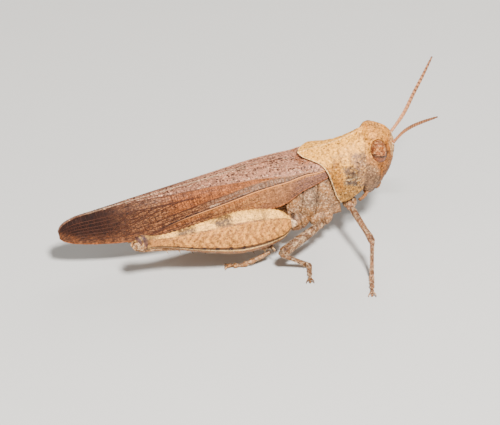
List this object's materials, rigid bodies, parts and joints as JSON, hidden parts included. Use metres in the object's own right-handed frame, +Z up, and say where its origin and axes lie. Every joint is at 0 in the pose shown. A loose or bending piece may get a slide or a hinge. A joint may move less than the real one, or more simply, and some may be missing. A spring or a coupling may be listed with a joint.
{
  "type": "grasshopper",
  "caption": "Life-size still model of a brown leaf-mimicking grasshopper standing on six feet, wings closed like a roof and antennae spread.",
  "frame": {"origin": "middle of the model's box, on the floor under its feet", "axes": "+X towards the head, +Y towards the insect's left, +Z up"},
  "size_m": [0.057, 0.0324, 0.0249],
  "materials": {
    "head_shell": "straw tan cuticle with fine brown specks, ochre on the face",
    "eye": "glossy reddish brown with a darker band",
    "antenna": "pinkish tan with dark rings",
    "mouthparts": "dark brown, slightly shiny",
    "pronotum_shell": "granular straw tan cuticle with a cream hind rim",
    "thorax_shell": "grey-beige cuticle, finely speckled",
    "belly_shell": "ringed tan cuticle",
    "forewing": "leathery purple-brown with raised veins and dark cells",
    "hindwing": "smoky folded membrane",
    "hind_femur_shell": "tan with herringbone ridges, cream and grey patches above",
    "leg_shell": "tan and brown mottled cuticle",
    "foot_shell": "reddish brown cuticle"
  },
  "bodies": {
    "root": {"head": "head_shell", "eye_left": "eye", "eye_right": "eye", "antenna_left": "antenna", "antenna_right": "antenna", "labrum": "head_shell", "mandible_left": "mouthparts", "mandible_right": "mouthparts", "palp_left": "mouthparts", "palp_right": "mouthparts", "pronotum": "pronotum_shell", "prothorax": "thorax_shell", "thorax": "thorax_shell", "abdomen": "belly_shell", "ovipositor": "belly_shell", "cercus_left": "belly_shell", "cercus_right": "belly_shell", "tegmen_left": "forewing", "tegmen_right": "forewing", "hind_wing_left": "hindwing", "hind_wing_right": "hindwing", "coxa_fore_left": "thorax_shell", "coxa_fore_right": "thorax_shell", "coxa_mid_left": "thorax_shell", "coxa_mid_right": "thorax_shell", "coxa_hind_left": "thorax_shell", "coxa_hind_right": "thorax_shell", "femur_fore_right": "leg_shell", "tibia_fore_right": "leg_shell", "tarsus_fore_right": "foot_shell", "femur_fore_left": "leg_shell", "tibia_fore_left": "leg_shell", "tarsus_fore_left": "foot_shell", "femur_mid_right": "leg_shell", "tibia_mid_right": "leg_shell", "tarsus_mid_right": "foot_shell", "femur_mid_left": "leg_shell", "tibia_mid_left": "leg_shell", "tarsus_mid_left": "foot_shell", "femur_hind_right": "hind_femur_shell", "tibia_hind_right": "leg_shell", "tarsus_hind_right": "foot_shell", "femur_hind_left": "hind_femur_shell", "tibia_hind_left": "leg_shell", "tarsus_hind_left": "foot_shell"}
  },
  "joints": []
}
